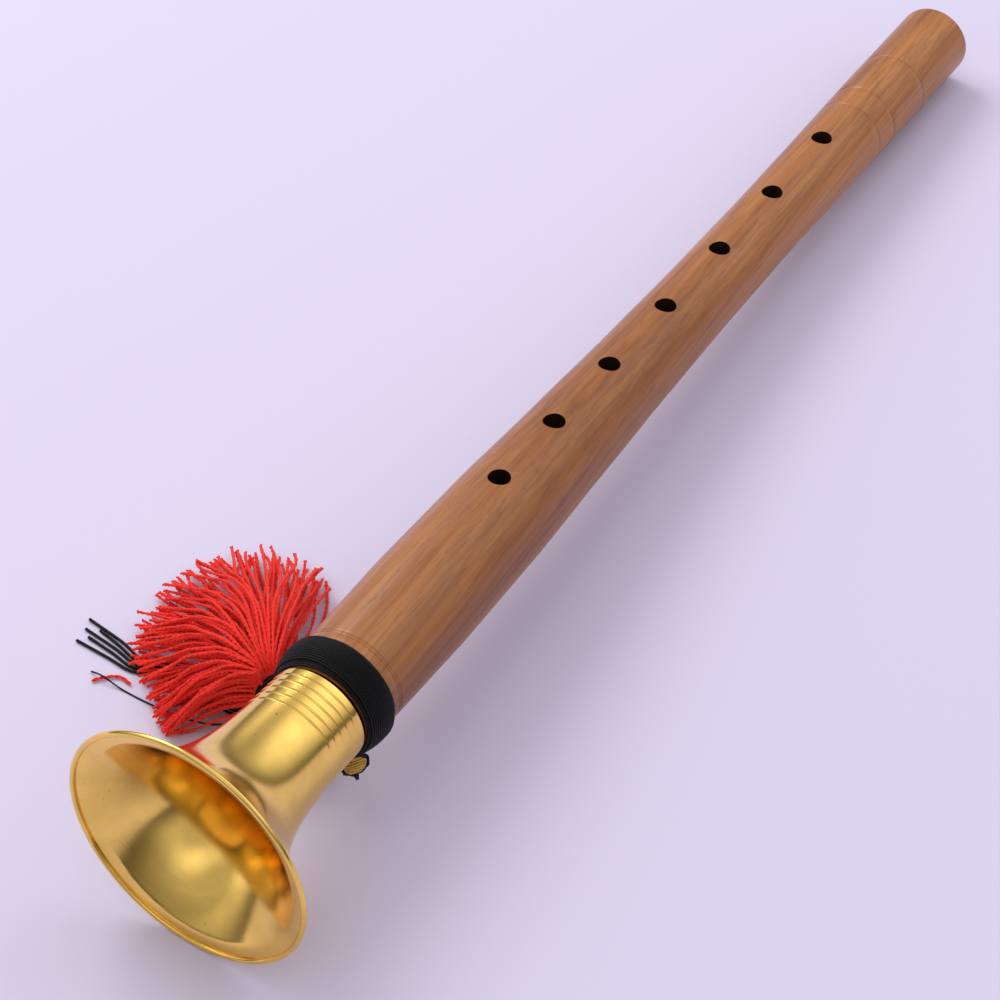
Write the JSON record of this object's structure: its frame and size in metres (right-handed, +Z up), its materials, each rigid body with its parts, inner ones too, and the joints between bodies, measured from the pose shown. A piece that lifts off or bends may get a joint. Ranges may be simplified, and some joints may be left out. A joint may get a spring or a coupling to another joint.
{
  "type": "shehnai",
  "caption": "Conical wooden double-reed pipe with finger holes, a flared brass bell pushed on its foot, a thread binding, a red yarn tassel and a small thread-wound pendant.",
  "frame": {"origin": "middle of the footprint on the table, without the loose thread ends", "axes": "+X along the pipe from the bell mouth to the top end, +Z up, finger holes up, the tassel on the +Y side"},
  "size_m": [0.4322, 0.1268, 0.0739],
  "materials": {
    "oiled_wood": "oiled, semi-gloss",
    "polished_brass": "polished, lightly spotted",
    "black_thread": "waxed cotton thread",
    "red_yarn": "soft yarn",
    "gilt_thread": "metallic thread"
  },
  "bodies": {
    "pipe": {"pipe_body": "oiled_wood", "tenon_lapping": "black_thread", "binding_core": "black_thread", "binding_winding": "black_thread", "binding_knot": "black_thread"},
    "bell": {"bell": "polished_brass"},
    "tassel": {"tassel_hanger": "black_thread", "tassel_head": "red_yarn", "tassel_tie": "black_thread", "yarn_tuft_1": "red_yarn", "yarn_tuft_2": "red_yarn", "yarn_tuft_3": "red_yarn", "yarn_tuft_4": "red_yarn", "yarn_tuft_5": "red_yarn", "yarn_tuft_6": "red_yarn", "yarn_tuft_7": "red_yarn", "yarn_tuft_8": "red_yarn", "stray_yarn": "red_yarn", "thread_tail_1": "black_thread", "thread_tail_2": "black_thread", "thread_tail_3": "black_thread", "thread_tail_4": "black_thread", "thread_tail_5": "black_thread", "thin_thread": "black_thread"},
    "pendant": {"pendant_cord": "black_thread", "gilt_bead": "gilt_thread", "bead_edging": "black_thread"}
  },
  "joints": [
    {"name": "bell_slide", "type": "slide", "parent": "pipe", "child": "bell", "axis": [-0.9979, 0.0297, 0.0579], "range_m": [0, 0.02]},
    {"name": "tassel_swing", "type": "hinge", "parent": "pipe", "child": "tassel", "pos_m": [-0.14818, -0.00382, 0.03045], "axis": [1, 0, 0], "range_deg": [0, 75]},
    {"name": "pendant_swing", "type": "hinge", "parent": "pipe", "child": "pendant", "pos_m": [-0.15116, -0.02889, 0.01699], "axis": [1, 0, 0], "range_deg": [-60, 20]}
  ]
}
